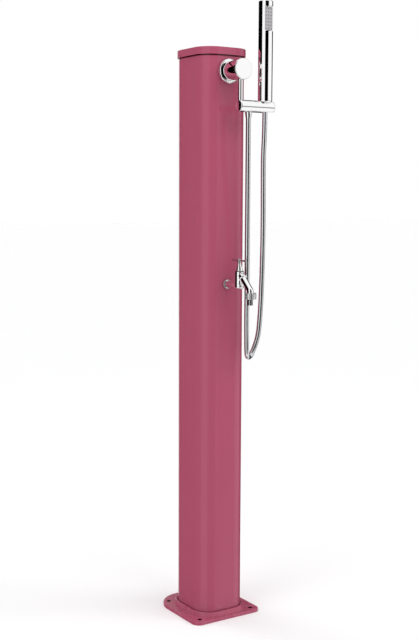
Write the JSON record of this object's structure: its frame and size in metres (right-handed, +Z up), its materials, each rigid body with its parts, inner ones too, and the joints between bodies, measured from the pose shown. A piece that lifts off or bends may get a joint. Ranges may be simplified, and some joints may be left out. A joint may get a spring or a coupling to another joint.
{
  "type": "outdoor shower post",
  "caption": "Free-standing garden shower: hollow painted post on a flat base plate, with a shower valve, a holder arm with a stick handset on a hose, and a small garden tap.",
  "frame": {"origin": "on the floor, on the middle line of the column, in the underside of the base plate", "axes": "+Z up, -Y is the front, from which the valve, the holder arm and the tap stand out, +X towards the handset's end of the holder arm"},
  "size_m": [0.166, 0.2599, 1.2908],
  "materials": {
    "post_paint": "satin powder coat",
    "chrome": "polished",
    "brass": "machined",
    "rubber": "matte",
    "steel": "plain",
    "pipe_plastic": "matte",
    "hose_plastic": "glossy silver grey",
    "spray_plastic": "satin",
    "cartridge_plastic": "matte"
  },
  "bodies": {
    "post": {"base_plate": "post_paint", "column": "post_paint", "top_cap": "post_paint", "valve_flange": "chrome", "valve_body": "chrome", "drop_tube": "chrome", "holder_arm": "chrome", "hose_outlet_nut": "chrome", "tap_rose": "chrome", "tap_body": "chrome", "tap_bonnet": "chrome", "tap_outlet_nut": "chrome", "tap_nozzle": "chrome", "inlet_nipple": "brass", "inlet_backnut": "brass", "tee_fitting": "brass", "elbow_fitting": "brass", "valve_backnut": "brass", "tap_backnut": "brass", "hose_outlet_tail": "brass", "tap_headwork": "brass", "valve_wall_seal": "rubber", "tap_wall_seal": "rubber", "valve_washer": "rubber", "tap_washer": "rubber", "tap_nozzle_washer": "rubber", "base_screws": "steel", "bracket_screws": "steel", "inlet_bracket": "steel", "riser_lower": "pipe_plastic", "riser_upper": "pipe_plastic", "hose": "hose_plastic", "valve_cartridge": "cartridge_plastic"},
    "knob": {"valve_stem": "brass", "valve_knob": "chrome", "knob_grub_screw": "steel"},
    "tap_handle": {"tap_stem": "brass", "tap_handle": "chrome", "tap_handle_screw": "chrome"},
    "hose_end": {"hose_cone_nut": "chrome", "hose_washer": "rubber"},
    "handset": {"handset_body": "chrome", "handset_end_cap": "chrome", "spray_face": "spray_plastic", "nozzle_mat": "rubber"}
  },
  "joints": [
    {"name": "knob_turn", "type": "hinge", "parent": "post", "child": "knob", "pos_m": [-0.001, -0.1215, 1.1518], "axis": [0, -1, 0], "range_deg": [0, 90]},
    {"name": "tap_turn", "type": "hinge", "parent": "post", "child": "tap_handle", "pos_m": [-0.001, -0.1131, 0.7664], "axis": [0, 0, 1], "range_deg": [0, 90]},
    {"name": "handset_lift", "type": "slide", "parent": "post", "child": "hose_end", "axis": [0, 0, 1], "range_m": [0, 0.06], "deforming": ["hose"]},
    {"name": "handset_swivel", "type": "hinge", "parent": "hose_end", "child": "handset", "pos_m": [0.0598, -0.1122, 1.0881], "axis": [0, 0, 1], "continuous": true}
  ]
}
